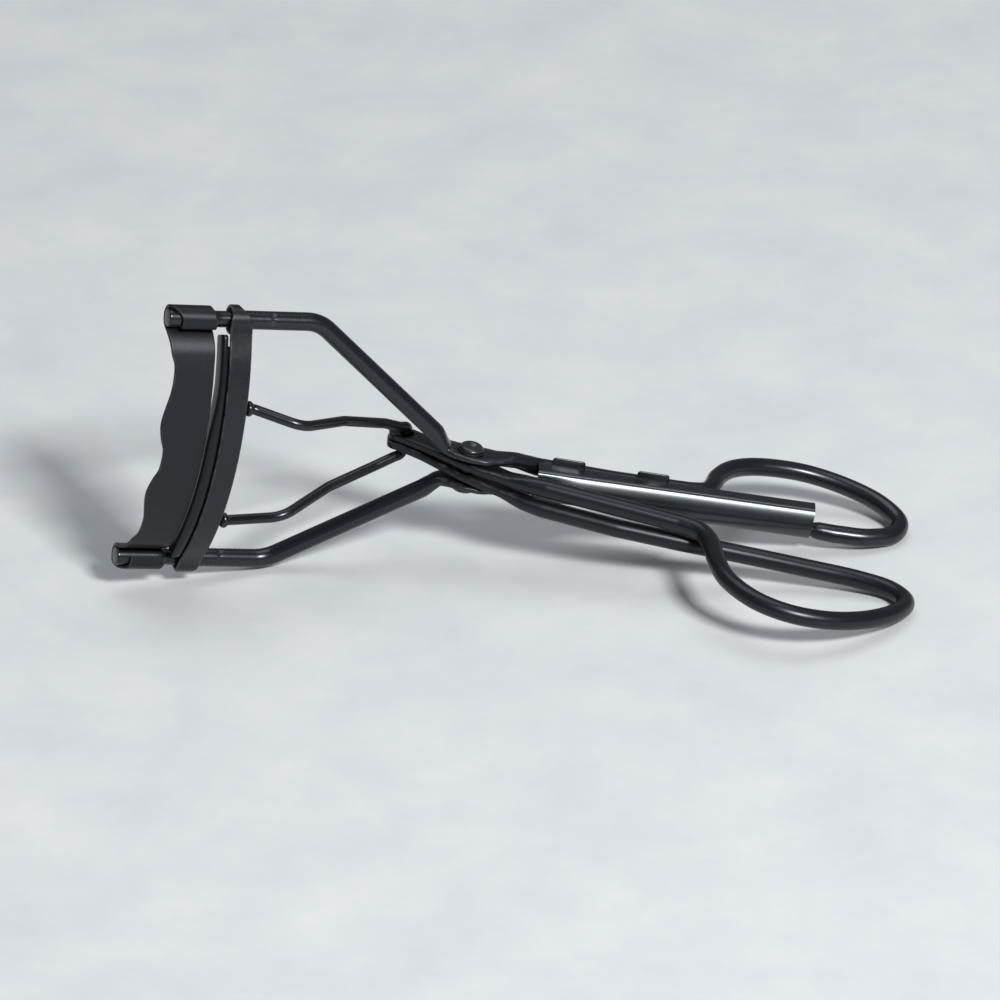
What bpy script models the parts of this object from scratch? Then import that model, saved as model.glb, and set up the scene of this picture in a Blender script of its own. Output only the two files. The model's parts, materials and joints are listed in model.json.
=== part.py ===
# Eyelash curler, scissor type, wire-formed frame and handles.
# Working axes, in millimetres: g runs from the jaws to the finger loops,
# h lies across the scissor plane (far side positive), n is the pivot axis.
# The tool lies tilted, resting on the lower elbow of its frame and on both loops.
import bpy
import bmesh
import math
from mathutils import Vector, Matrix

for old in list(bpy.data.objects):
    bpy.data.objects.remove(old, do_unlink=True)

MM = 0.001
WIRE_R = 1.24                # main wire, about 2.5 mm thick
YOKE_R = 0.7                 # push yoke wire, 1.4 mm thick
ROD_N = 18.3                 # half the spacing of the guide rods
ROD_FRONT = (-43.7, -8.5)    # (g, h) of the guide rods' front ends
SLIDE_ANGLE = math.radians(18.65)   # guide rods against the g axis
ROD_BEND = (-23.75, -1.75)
TILT = math.radians(12.2)    # pivot axis leans towards the loops' side
ROLL = math.radians(0.5)
PIVOT_HOLE_R = 1.15
PIN_HOLE_R = 1.05
PIN = (-8.5, 4.45)           # cross pin of the yoke in the bar ends
RIVET_R = 0.88
JAW_CENTRE_W = 26.8          # centre of the jaws' curve, across the slide direction
PLATE_R = 32.65              # mid radius of the fixed jaw's sheet
PLATE_T = 0.45
PLATE_REAR = 6.5
CHANNEL_OUT = 34.0
CHANNEL_IN = 30.8
CHANNEL_T = 0.45
CHANNEL_FRONT = 8.1
CHANNEL_BACK = 11.15
CHANNEL_END_N = 15.0
PAD_FRONT = 6.62             # the pad's face just clears the fixed jaw over its lower part
PAD_SLOPE = 0.48             # and stands back towards the upper rod
YOKE_HINGE_U = 10.95         # the yoke swings in holes of the moving jaw's back wall
BEAD_W = -4.68
BEAD_N = {1: 7.55, -1: -9.62}   # the yoke sits slightly towards the lower rod
SLEEVE_START, SLEEVE_END = 9.3, 47.3
SLEEVE_H0, SLEEVE_SLOPE = -1.26, 0.102
SIDES = 14
STEP_DEG = 14.0

U = Vector((math.cos(SLIDE_ANGLE), math.sin(SLIDE_ANGLE), 0.0))
W = Vector((-math.sin(SLIDE_ANGLE), math.cos(SLIDE_ANGLE), 0.0))
N = Vector((0.0, 0.0, 1.0))


def jaw_point(u, w, n):
    """Point given along the guide rods (u), across them (w) and along the pivot axis (n)."""
    return Vector((ROD_FRONT[0], ROD_FRONT[1], 0.0)) + U * u + W * w + N * n


def sleeve_h(g):
    return SLEEVE_H0 + SLEEVE_SLOPE * (g - 9.46)


def ease(t):
    t = max(0.0, min(1.0, t))
    return t * t * (3.0 - 2.0 * t)


def arc_w(radius, n):
    return JAW_CENTRE_W - math.sqrt(radius * radius - n * n)


def catmull(points, per):
    """Smooth curve through the points; each point is (position, a, b, p)."""
    out = []
    for i in range(len(points) - 1):
        q0 = points[max(i - 1, 0)]
        q1, q2 = points[i], points[i + 1]
        q3 = points[min(i + 2, len(points) - 1)]
        d01 = max((q1[0] - q0[0]).length, 1e-6) ** 0.5
        d12 = max((q2[0] - q1[0]).length, 1e-6) ** 0.5
        d23 = max((q3[0] - q2[0]).length, 1e-6) ** 0.5
        m1 = (q2[0] - q1[0])
        if i > 0:
            m1 = ((q1[0] - q0[0]) / d01 - (q2[0] - q0[0]) / (d01 + d12) + (q2[0] - q1[0]) / d12) * d12
        m2 = (q2[0] - q1[0])
        if i + 2 < len(points):
            m2 = ((q2[0] - q1[0]) / d12 - (q3[0] - q1[0]) / (d12 + d23) + (q3[0] - q2[0]) / d23) * d12
        for k in range(per):
            t = k / per
            t2, t3 = t * t, t * t * t
            pos = (q1[0] * (2 * t3 - 3 * t2 + 1) + m1 * (t3 - 2 * t2 + t)
                   + q2[0] * (-2 * t3 + 3 * t2) + m2 * (t3 - t2))
            out.append((pos,) + tuple(q1[j] * (1 - t) + q2[j] * t for j in (1, 2, 3)))
    out.append(points[-1])
    return out


def rounded(nodes):
    """Polyline with filleted corners. Node: (position, fillet, a, b, p)."""
    out = []
    for i, (pos, fil, a, b, p) in enumerate(nodes):
        if fil <= 0 or i == 0 or i == len(nodes) - 1:
            out.append((pos, a, b, p))
            continue
        before, after = nodes[i - 1], nodes[i + 1]
        d1 = (before[0] - pos).normalized()
        d2 = (after[0] - pos).normalized()
        turn = math.pi - d1.angle(d2)
        cut = fil * math.tan(turn / 2)
        cut = min(cut, 0.48 * (before[0] - pos).length, 0.48 * (after[0] - pos).length)
        rad = cut / math.tan(turn / 2)
        start, end = pos + d1 * cut, pos + d2 * cut
        centre = pos + (d1 + d2).normalized() * (rad / math.cos(turn / 2))
        steps = max(2, int(math.degrees(turn) / STEP_DEG + 0.999))
        v1, v2 = start - centre, end - centre
        f1 = cut / (before[0] - pos).length
        f2 = cut / (after[0] - pos).length
        for k in range(steps + 1):
            t = k / steps
            ang = turn * t
            v = v1 * (math.sin(turn - ang) / math.sin(turn)) + v2 * (math.sin(ang) / math.sin(turn))
            if t < 0.5:
                s = f1 * (1 - 2 * t)
                vals = [x * (1 - s) + y * s for x, y in zip((a, b, p), before[2:])]
            else:
                s = f2 * (2 * t - 1)
                vals = [x * (1 - s) + y * s for x, y in zip((a, b, p), after[2:])]
            out.append((centre + v, vals[0], vals[1], vals[2]))
    return out


def sweep(stations, up=None, sides=SIDES):
    """Closed solid along the stations; section is a superellipse of half sizes a (across) and b (along up)."""
    bm = bmesh.new()
    rings = []
    count = len(stations)
    transported = None
    for i, (pos, a, b, p) in enumerate(stations):
        if i == 0:
            t = stations[1][0] - pos
        elif i == count - 1:
            t = pos - stations[i - 1][0]
        else:
            t = ((pos - stations[i - 1][0]).normalized() + (stations[i + 1][0] - pos).normalized())
        t.normalize()
        if up is not None:
            side = t.cross(up).normalized()
            top = side.cross(t).normalized()
        else:
            if transported is None:
                side = t.cross(N).normalized()
            else:
                side = (transported - t * transported.dot(t)).normalized()
            top = side.cross(t).normalized()
            transported = side.copy()
        ring = []
        for k in range(sides):
            ang = 2 * math.pi * (k + 0.5) / sides
            c, s = math.cos(ang), math.sin(ang)
            x = a * math.copysign(abs(c) ** (2 / p), c)
            y = b * math.copysign(abs(s) ** (2 / p), s)
            ring.append(bm.verts.new((pos + side * x + top * y) * MM))
        rings.append(ring)
    for r0, r1 in zip(rings, rings[1:]):
        for k in range(sides):
            bm.faces.new((r0[k], r0[(k + 1) % sides], r1[(k + 1) % sides], r1[k]))
    bm.faces.new(list(reversed(rings[0])))
    bm.faces.new(rings[-1])
    bmesh.ops.recalc_face_normals(bm, faces=bm.faces)
    return bm


def sweep_section(sections):
    """Closed solid through a list of matching rings of points, in millimetres."""
    bm = bmesh.new()
    rings = [[bm.verts.new(v * MM) for v in ring] for ring in sections]
    size = len(rings[0])
    for r0, r1 in zip(rings, rings[1:]):
        for k in range(size):
            bm.faces.new((r0[k], r0[(k + 1) % size], r1[(k + 1) % size], r1[k]))
    bm.faces.new(list(reversed(rings[0])))
    bm.faces.new(rings[-1])
    bmesh.ops.recalc_face_normals(bm, faces=bm.faces)
    return bm


def sheet(path, edges, thickness):
    """Bent sheet: path in (w, n), edges gives (front u, rear u) at each path point."""
    sections = []
    for i, (w, n) in enumerate(path):
        w0, n0 = path[max(i - 1, 0)]
        w1, n1 = path[min(i + 1, len(path) - 1)]
        length = math.hypot(w1 - w0, n1 - n0)
        nw, nn = -(n1 - n0) / length, (w1 - w0) / length
        f, r = edges[i]
        h = thickness / 2
        sections.append([jaw_point(f, w - nw * h, n - nn * h), jaw_point(r, w - nw * h, n - nn * h),
                         jaw_point(r, w + nw * h, n + nn * h), jaw_point(f, w + nw * h, n + nn * h)])
    return sweep_section(sections)


def bezier(p0, t0, p1, t1, pull, steps):
    out = []
    for k in range(1, steps):
        t = k / steps
        c0 = (p0[0] + t0[0] * pull, p0[1] + t0[1] * pull)
        c1 = (p1[0] - t1[0] * pull, p1[1] - t1[1] * pull)
        q = [(1 - t) ** 3 * p0[j] + 3 * t * (1 - t) ** 2 * c0[j] + 3 * t * t * (1 - t) * c1[j] + t ** 3 * p1[j]
             for j in (0, 1)]
        out.append(tuple(q))
    return out


def revolve(profile, centre, axis, side, segments):
    """Closed solid of revolution; profile is (distance along axis, radius)."""
    other = axis.cross(side)
    bm = bmesh.new()
    rings = []
    for d, r in profile:
        rings.append([bm.verts.new((centre + axis * d + (side * math.cos(2 * math.pi * k / segments)
                      + other * math.sin(2 * math.pi * k / segments)) * r) * MM) for k in range(segments)])
    for r0, r1 in zip(rings, rings[1:]):
        for k in range(segments):
            bm.faces.new((r0[k], r0[(k + 1) % segments], r1[(k + 1) % segments], r1[k]))
    bm.faces.new(list(reversed(rings[0])))
    bm.faces.new(rings[-1])
    bmesh.ops.recalc_face_normals(bm, faces=bm.faces)
    return bm


def tube_ring(r_in, r_out, n0, n1, segments):
    """Flat washer about the pivot axis."""
    bm = bmesh.new()
    rings = []
    for r, n in ((r_in, n0), (r_out, n0), (r_out, n1), (r_in, n1)):
        rings.append([bm.verts.new(Vector((r * math.cos(2 * math.pi * k / segments),
                      r * math.sin(2 * math.pi * k / segments), n)) * MM) for k in range(segments)])
    for j in range(4):
        r0, r1 = rings[j], rings[(j + 1) % 4]
        for k in range(segments):
            bm.faces.new((r0[k], r0[(k + 1) % segments], r1[(k + 1) % segments], r1[k]))
    bmesh.ops.recalc_face_normals(bm, faces=bm.faces)
    return bm


root = bpy.data.objects.new("curler_pose", None)
bpy.context.scene.collection.objects.link(root)


def material(name, colour, rough, metal=0.0):
    mat = bpy.data.materials.new(name)
    mat.use_nodes = True
    bsdf = mat.node_tree.nodes["Principled BSDF"]
    bsdf.inputs["Base Color"].default_value = (colour[0], colour[1], colour[2], 1.0)
    bsdf.inputs["Roughness"].default_value = rough
    bsdf.inputs["Metallic"].default_value = metal
    return mat


def make(name, bm, mat, origin=(0.0, 0.0, 0.0)):
    """Object whose origin lies at the given (g, h, n) point, under the tilted empty."""
    shift = Vector(origin) * MM
    bmesh.ops.translate(bm, verts=bm.verts, vec=-shift)
    mesh = bpy.data.meshes.new(name)
    bm.to_mesh(mesh)
    bm.free()
    obj = bpy.data.objects.new(name, mesh)
    bpy.context.scene.collection.objects.link(obj)
    obj.parent = root
    obj.location = shift
    if mat is not None:
        mesh.materials.append(mat)
    return obj


def helper(name, bm):
    obj = make(name, bm, None)
    obj.hide_render = True
    obj.display_type = 'WIRE'
    return obj


def boolean(target, other, operation):
    mod = target.modifiers.new(operation.lower() + "_" + other.name, 'BOOLEAN')
    mod.operation = operation
    mod.solver = 'EXACT'
    mod.object = other


def V(g, h, n):
    return Vector((g, h, n))


# ---------------------------------------------------------------- frame wire
def frame_half(sgn):
    """From the guide rod's front end to the fixed handle run, on one side."""
    r = WIRE_R
    nodes = []
    for u, rad in ((-0.20, 1.08), (-0.05, 1.21), (6.2, 1.21), (6.45, 1.10), (8.7, 1.10), (9.0, r)):
        nodes.append((jaw_point(u, 0.0, sgn * ROD_N), 0.0, rad, rad, 2.0))
    nodes += [
        (V(ROD_BEND[0], ROD_BEND[1], sgn * ROD_N), 5.0, r, r, 2.0),
        (V(-5.2, 0.15, sgn * 4.35), 0.0, r, r, 2.0),
        (V(-3.3, 0.3, sgn * 2.35), 1.6, 1.55, 0.75, 2.6),
        (V(-1.9, 0.2, sgn * 2.2), 0.0, 1.95, 0.46, 4.0),
        (V(0.0, 0.05, sgn * 2.2), 0.0, 2.15, 0.42, 5.0),
        (V(1.9, -0.1, sgn * 2.2), 0.0, 2.05, 0.42, 5.0),
        (V(3.9, 0.2, sgn * 2.2), 0.0, 1.65, 0.46, 4.0),
        (V(6.3, 1.0, sgn * 2.0), 2.0, 1.2, 1.0, 2.2),
    ]
    return nodes


upper = frame_half(1)
lower = frame_half(-1)
upper += [(V(9.4, 2.05, 1.05), 4.0, WIRE_R, WIRE_R, 2.0), (V(20.0, sleeve_h(20.0) + 3.0, 0.85), 6.0, WIRE_R, WIRE_R, 2.0),
          (V(28.6, sleeve_h(28.6) + 2.85, 0.85), 0.0, WIRE_R, WIRE_R, 2.0)]
lower += [(V(8.7, 0.0, -1.15), 2.0, 1.1, 0.78, 3.0), (V(12.0, sleeve_h(12.0) + 1.0, -1.12), 2.0, 1.05, 0.75, 3.0)]
loop_far = [(q, WIRE_R, WIRE_R, 2.0) for q in (
    V(28.6, sleeve_h(28.6) + 2.85, 0.85), V(30.9, 3.85, 0.88), V(32.55, 4.5, 0.92), V(33.45, 6.0, 1.0), V(34.2, 8.5, 1.1),
    V(36.1, 11.3, 1.2), V(39.6, 13.5, 1.15), V(46.3, 14.85, 0.9), V(52.8, 13.8, 0.5), V(57.4, 11.4, 0.1),
    V(59.75, 8.3, -0.4), V(58.9, 5.4, -0.75), V(55.3, 3.6, -1.0), V(50.6, 3.15, -1.15))]
run_b = [(V(48.4, 3.2, -1.15), 0.0, 1.18, 1.18, 2.1), (V(47.5, 3.3, -1.15), 0.0, 1.05, 0.76, 3.0), (V(46.0, sleeve_h(46.0) + 0.95, -1.12), 0.0, 1.05, 0.75, 3.0)]
stations = (rounded(upper)[:-1] + catmull(loop_far, 3) + rounded(run_b + list(reversed(lower))))
paint = material("black_satin_wire", (0.018, 0.019, 0.022), 0.38, 0.25)
frame_wire = make("frame_wire", sweep(stations, up=N), paint)
lug_cut = helper("cut_lug_holes", revolve([(-5.0, PIVOT_HOLE_R), (5.0, PIVOT_HOLE_R)], V(0, 0, 0), N, V(1, 0, 0), 20))
boolean(frame_wire, lug_cut, 'DIFFERENCE')

# ---------------------------------------------------------------- fixed jaw
ROLL_R = 1.525


def front_edge(n):
    """Wavy front edge: notch in the middle, two humps, shallow waists, eyelets."""
    m = abs(n)
    keys = ((0.0, 0.95), (1.6, 0.85), (3.0, 0.35), (4.7, -0.02), (6.0, 0.0), (7.5, 0.3), (9.6, 0.8),
            (11.6, 1.0), (13.0, 0.95), (14.3, 0.5), (16.0, 0.3))
    if m >= keys[-1][0]:
        return keys[-1][1]
    for (a, fa), (b, fb) in zip(keys, keys[1:]):
        if m <= b:
            t = (m - a) / (b - a)
            t = t * t * (3 - 2 * t)
            return fa + (fb - fa) * t
    return keys[-1][1]


def plate_path(fine):
    start_n = 14.3
    start = (arc_w(PLATE_R, start_n), start_n)
    slope = (start_n / PLATE_R, math.sqrt(1 - (start_n / PLATE_R) ** 2))
    first = math.radians(-78)
    roll = []
    steps = fine * 2
    for k in range(steps + 1):
        ang = first + (math.radians(207) - first) * k / steps
        roll.append((ROLL_R * math.cos(ang), ROD_N + ROLL_R * math.sin(ang)))
    join = bezier(start, slope, roll[0], (-math.sin(first), math.cos(first)), 1.15, 6)
    half = [(arc_w(PLATE_R, start_n * k / fine), start_n * k / fine) for k in range(1, fine + 1)]
    side = half + join + roll
    path = [(w, -n) for w, n in reversed(side)] + [(arc_w(PLATE_R, 0), 0.0)] + side
    lead = [(0.30, PLATE_REAR)] * len(join)
    for k in range(len(join)):
        f = (k + 1) / (len(join) + 1)
        lead[k] = (0.45 * (1 - f) - 0.15 * f, PLATE_REAR)
    for k in range(steps + 1):
        f = k / steps
        lead.append((-0.15 + 1.65 * ease((f - 0.46) / 0.41),
                     PLATE_REAR - 0.15 - 0.65 * math.sin(math.pi * min(1.0, f * 1.15))))
    plain = [(front_edge(n), PLATE_REAR) for w, n in half]
    edges = list(reversed(lead)) + list(reversed(plain)) + [(front_edge(0), PLATE_REAR)] + plain + lead
    return path, edges


path, edges = plate_path(14)
jaw_paint = material("black_satin_sheet", (0.020, 0.021, 0.024), 0.42, 0.2)
fixed_jaw = make("fixed_jaw", sheet(path, edges, PLATE_T), jaw_paint)

# ---------------------------------------------------------------- moving jaw
RING_R = WIRE_R + 0.3 + CHANNEL_T / 2
flange_r = CHANNEL_OUT - CHANNEL_T / 2


def ring_path(fine):
    start_n = 14.2
    start = (arc_w(flange_r, start_n), start_n)
    slope = (start_n / flange_r, math.sqrt(1 - (start_n / flange_r) ** 2))
    first = math.radians(170)
    roll = []
    steps = fine * 2
    for k in range(steps + 1):
        ang = first - (math.radians(170 + 118)) * k / steps
        roll.append((RING_R * math.cos(ang), ROD_N + RING_R * math.sin(ang)))
    join = bezier(start, slope, roll[0], (math.sin(first), -math.cos(first)), 1.2, 5)
    half = [(arc_w(flange_r, start_n * k / fine), start_n * k / fine) for k in range(1, fine + 1)]
    side = half + join + roll
    ends = [(CHANNEL_FRONT, CHANNEL_BACK)] * (len(half) + len(join))
    for k in range(steps + 1):                       # the rolled ends grow a little narrower
        f = k / steps
        ends.append((CHANNEL_FRONT + 0.35 * ease(f / 0.3), CHANNEL_BACK - 1.3 * ease(f / 0.3) - 0.5 * f))
    return ([(w, -n) for w, n in reversed(side)] + [(arc_w(flange_r, 0), 0.0)] + side,
            list(reversed(ends)) + [(CHANNEL_FRONT, CHANNEL_BACK)] + ends)


path, edges = ring_path(12)
moving_jaw = make("moving_jaw", sheet(path, edges, CHANNEL_T),
                  material("black_satin_channel", (0.019, 0.020, 0.023), 0.40, 0.22),
                  origin=tuple(jaw_point(10.3, 0.0, 0.0)))


def arc_sweep(section, end_n, steps):
    """Section is a ring of (radius, u), swept round the jaws' centre."""
    rings = []
    for k in range(steps + 1):
        ang = math.asin(end_n / 32.0) * (2 * k / steps - 1)
        rings.append([jaw_point(u, JAW_CENTRE_W - r * math.cos(ang), r * math.sin(ang)) for r, u in section])
    return sweep_section(rings)


t = CHANNEL_T
channel = helper("join_channel", arc_sweep(
    [(CHANNEL_OUT - 0.05, CHANNEL_BACK), (CHANNEL_IN, CHANNEL_BACK), (CHANNEL_IN, CHANNEL_FRONT),
     (CHANNEL_IN + t, CHANNEL_FRONT), (CHANNEL_IN + t, CHANNEL_BACK - t), (CHANNEL_OUT - t - 0.1 + 0.0, CHANNEL_BACK - t),
     (CHANNEL_OUT - 0.05, CHANNEL_BACK - t)], CHANNEL_END_N, 24))
boolean(moving_jaw, channel, 'UNION')
bead_w = BEAD_W
for sgn, tag in ((1, "upper"), (-1, "lower")):
    cut = helper("cut_bead_hole_" + tag, revolve([(-1.2, 0.47), (1.2, 0.47)],
                 jaw_point(CHANNEL_BACK - t / 2, bead_w, BEAD_N[sgn]), U, W, 16))
    boolean(moving_jaw, cut, 'DIFFERENCE')

# ---------------------------------------------------------------- silicone pad
PAD_IN, PAD_OUT = CHANNEL_IN + t + 0.15, CHANNEL_OUT - t - 0.15
pad_section = [(PAD_OUT, 9.8), (PAD_IN, 9.8), (PAD_IN, CHANNEL_FRONT - 0.15), (PAD_IN - 0.35, CHANNEL_FRONT - 0.15),
               (PAD_IN - 0.35, PAD_FRONT + 0.75), (PAD_IN + 0.05, PAD_FRONT + 0.15), ((PAD_IN + PAD_OUT) / 2, PAD_FRONT),
               (PAD_OUT - 0.05, PAD_FRONT + 0.15), (PAD_OUT + 0.35, PAD_FRONT + 0.75),
               (PAD_OUT + 0.35, CHANNEL_FRONT - 0.15), (PAD_OUT, CHANNEL_FRONT - 0.15)]
pad_rings = []
stops = [-16.35, -16.1, -15.6, -14.75, -14.6] + [-14.6 + 29.2 * k / 20 for k in range(1, 20)] + [14.6, 14.75, 15.6, 16.1, 16.35]
for n in stops:
    ang = math.asin(n / 32.0)
    shrink = 1.0 if abs(n) < 15.7 else (0.82 if abs(n) < 16.2 else 0.55)
    mid_r, mid_u = (PAD_IN + PAD_OUT) / 2, (PAD_FRONT + CHANNEL_FRONT) / 2
    ring = []
    back = PAD_SLOPE * ease((n - 2.0) / 9.0)
    for r, u in pad_section:
        u += back * max(0.0, min(1.0, (CHANNEL_FRONT - 0.15 - u) / (CHANNEL_FRONT - 0.15 - PAD_FRONT)))
        if abs(n) > 14.7:
            u = min(u, CHANNEL_FRONT - 0.10 if u > CHANNEL_FRONT else u)
        r, u = mid_r + (r - mid_r) * shrink, mid_u + (u - mid_u) * shrink
        ring.append(jaw_point(u, JAW_CENTRE_W - r * math.cos(ang), r * math.sin(ang)))
    pad_rings.append(ring)
silicone_pad = make("silicone_pad", sweep_section(pad_rings), material("black_silicone", (0.012, 0.012, 0.013), 0.5),
                    origin=tuple(jaw_point(9.0, 0.0, 0.0)))

# ---------------------------------------------------------------- moving handle
bar = 6.0


def bars(sgn, lead):
    s = sgn
    tail_h = -7.0 if s > 0 else -6.3
    return [
        (V(-10.75, 4.9, s * 0.64), 0.0, 0.75, 0.50, 3.0), (V(-10.4, 4.9, s * 0.64), 0.0, 1.4, 0.52, 4.0),
        (V(-9.8, 4.82, s * 0.64), 0.0, 1.62, 0.52, bar), (V(-8.3, 4.5, s * 0.65), 0.0, 1.7, 0.52, bar),
        (V(-5.3, 3.05, s * 0.7), 3.0, 1.62, 0.52, bar), (V(-1.6, 0.95, s * 0.82), 0.0, 1.75, 0.52, bar),
        (V(0.0, 0.0, s * 0.86), 0.0, 1.8, 0.52, bar), (V(1.6, -0.8, s * 0.9), 0.0, 1.65, 0.52, bar),
        (V(5.3, -2.6, s * 1.05), 4.0, 1.25, 0.62, 4.0), (V(8.2, -3.85, s * 1.4), 2.0, WIRE_R, 1.1, 2.1),
        (V(10.5, -4.4, s * 1.52), 3.0, WIRE_R, WIRE_R, 2.0), (V(20.7, -5.85, s * 1.55), 8.0, WIRE_R, WIRE_R, 2.0),
        (V(28.8, tail_h, s * 1.55), 0.0, WIRE_R, WIRE_R, 2.0)]


loop_near = [V(28.8, -7.0, 1.55), V(31.35, -8.0, 1.55), V(32.75, -10.6, 1.5), V(33.35, -14.4, 1.45), V(34.75, -19.1, 1.35),
             V(38.35, -22.9, 1.15), V(43.0, -24.5, 0.95), V(48.7, -23.8, 0.65), V(54.3, -20.75, 0.25),
             V(58.55, -16.2, -0.2), V(59.6, -12.9, -0.45), V(57.8, -10.1, -0.7), V(53.7, -8.5, -0.95),
             V(45.9, -7.35, -1.3), V(36.9, -6.6, -1.5), V(28.8, -6.3, -1.55)]
stations = (rounded(bars(1, 0))[:-1] + catmull([(q, WIRE_R, WIRE_R, 2.0) for q in loop_near], 3)
            + rounded(list(reversed(bars(-1, 0))))[1:])
moving_handle = make("moving_handle", sweep(stations, up=N), material("black_satin_handle", (0.018, 0.019, 0.022), 0.38, 0.25))
handle_cut = helper("cut_handle_pivot", revolve([(-3.0, PIVOT_HOLE_R), (3.0, PIVOT_HOLE_R)], V(0, 0, 0), N, V(1, 0, 0), 20))
pin_cut = helper("cut_handle_pin", revolve([(-3.0, PIN_HOLE_R), (3.0, PIN_HOLE_R)], V(PIN[0], PIN[1], 0), N, V(1, 0, 0), 20))
boolean(moving_handle, handle_cut, 'DIFFERENCE')
boolean(moving_handle, pin_cut, 'DIFFERENCE')

# ---------------------------------------------------------------- push yoke
def yoke_half(sgn):
    s = sgn
    n0 = BEAD_N[s]
    r = YOKE_R
    nodes = []
    for u, rad in ((9.98, 0.42), (10.1, 0.5), (10.38, 0.5), (10.5, 0.34), (11.3, 0.34), (11.42, 0.75), (11.6, 0.98), (11.9, 1.07),
                   (12.2, 0.98), (12.45, 0.72)):
        nodes.append((jaw_point(u, bead_w, n0), 0.0, rad, rad, 2.0))
    nodes += [(jaw_point(12.8, bead_w - 0.06, n0 - s * 0.07), 0.0, r, r, 2.0),
              (V(-23.4, -9.95, s * 6.85 if s > 0 else -7.0), 3.2, r, r, 2.0), (V(-17.75, -2.95, s * 5.1), 3.2, r, r, 2.0),
              (V(-11.9, 1.9, s * 3.3), 3.0, r, r, 2.0), (V(-9.6, 3.5, s * 2.35), 1.2, r, r, 2.0),
              (V(PIN[0], PIN[1], s * 2.15), 0.85, r, r, 2.0)]
    return nodes


yoke_nodes = yoke_half(1) + list(reversed(yoke_half(-1)))
push_yoke = make("push_yoke", sweep(rounded(yoke_nodes), up=None, sides=12),
                 material("black_satin_thin_wire", (0.018, 0.019, 0.022), 0.36, 0.25),
                 origin=tuple(jaw_point(YOKE_HINGE_U, bead_w, 0.0)))

# ---------------------------------------------------------------- pivot rivet and washer
rivet_profile = [(-3.25, 0.55), (-3.25, 1.15), (-3.05, 1.55), (-2.76, 1.6), (-2.76, RIVET_R), (3.06, RIVET_R), (3.06, 1.6),
                 (3.3, 1.55), (3.5, 1.25), (3.5, 0.75), (3.3, 0.35)]
pivot_rivet = make("pivot_rivet", revolve(rivet_profile, V(0, 0, 0), N, V(1, 0, 0), 24),
                   material("black_satin_rivet", (0.022, 0.023, 0.026), 0.34, 0.35))
rivet_washer = make("rivet_washer", tube_ring(1.1, 1.75, 2.74, 2.96, 24), material("black_washer", (0.010, 0.010, 0.011), 0.5, 0.2))

# ---------------------------------------------------------------- handle sleeve
def sleeve_section(g):
    far = 2.4 - 0.6 * min(1.0, (g - SLEEVE_START) / 16.0)
    b = min(1.0, (g - SLEEVE_START) / 4.7)      # the near wall bulges once clear of the handle's crossing
    outer = [(far, 2.35), (0.15, 2.35), (-0.3, 2.12), (-0.62 - 0.2 * b, 1.5), (-0.8 - 0.42 * b, 0.6), (-0.84 - 0.48 * b, -0.3),
             (-0.68 - 0.33 * b, -1.3), (-0.32 - 0.14 * b, -1.98), (0.25, -2.32), (1.0, -2.35), (2.2, -2.35)]
    inner = [(2.2, -2.05), (1.0, -2.05), (0.4, -2.02), (-0.08 - 0.13 * b, -1.74), (-0.4 - 0.32 * b, -1.15),
             (-0.53 - 0.48 * b, -0.27), (-0.49 - 0.43 * b, 0.55), (-0.34 - 0.22 * b, 1.35), (-0.08, 1.88), (0.25, 2.05),
             (far, 2.05)]
    return [V(g, sleeve_h(g) + dh, n) for dh, n in outer + inner]


sections = [sleeve_section(g) for g in (SLEEVE_START, 14.0, 20.0, 25.3, 34.0, SLEEVE_END)]
sleeve = make("handle_sleeve", sweep_section(sections), material("black_satin_sleeve", (0.021, 0.022, 0.025), 0.36, 0.25))
for tag, g0, g1 in (("front", 11.0, 15.6), ("rear", 22.6, 27.1)):
    ring = []
    for g in (g0, g1):
        h = sleeve_h(g) + 2.4 - 0.6 * min(1.0, (g - SLEEVE_START) / 16.0)
        c = 0.25 if g == g0 else -0.25
        ring.append([V(g, h - 0.28, 2.2), V(g, h - 0.02, 2.2), V(g + c, h - 0.02, 3.45), V(g + c, h - 0.28, 3.45)])
    boolean(sleeve, helper("join_tab_" + tag, sweep_section(ring)), 'UNION')

# ---------------------------------------------------------------- resting pose
rot = Matrix.Rotation(TILT, 4, 'Y') @ Matrix.Rotation(ROLL, 4, 'X')
low = [1e9] * 3
high = [-1e9] * 3
for obj in bpy.data.objects:
    if obj.type == 'MESH' and not obj.hide_render:
        for v in obj.data.vertices:
            q = rot @ (v.co + obj.location)
            for i in range(3):
                low[i] = min(low[i], q[i])
                high[i] = max(high[i], q[i])
root.rotation_euler = rot.to_euler()
root.location = (-(low[0] + high[0]) / 2, -(low[1] + high[1]) / 2, -low[2])
bpy.context.view_layer.update()
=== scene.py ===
import json
import math
import bpy
import bmesh
from mathutils import Vector, Matrix


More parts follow.
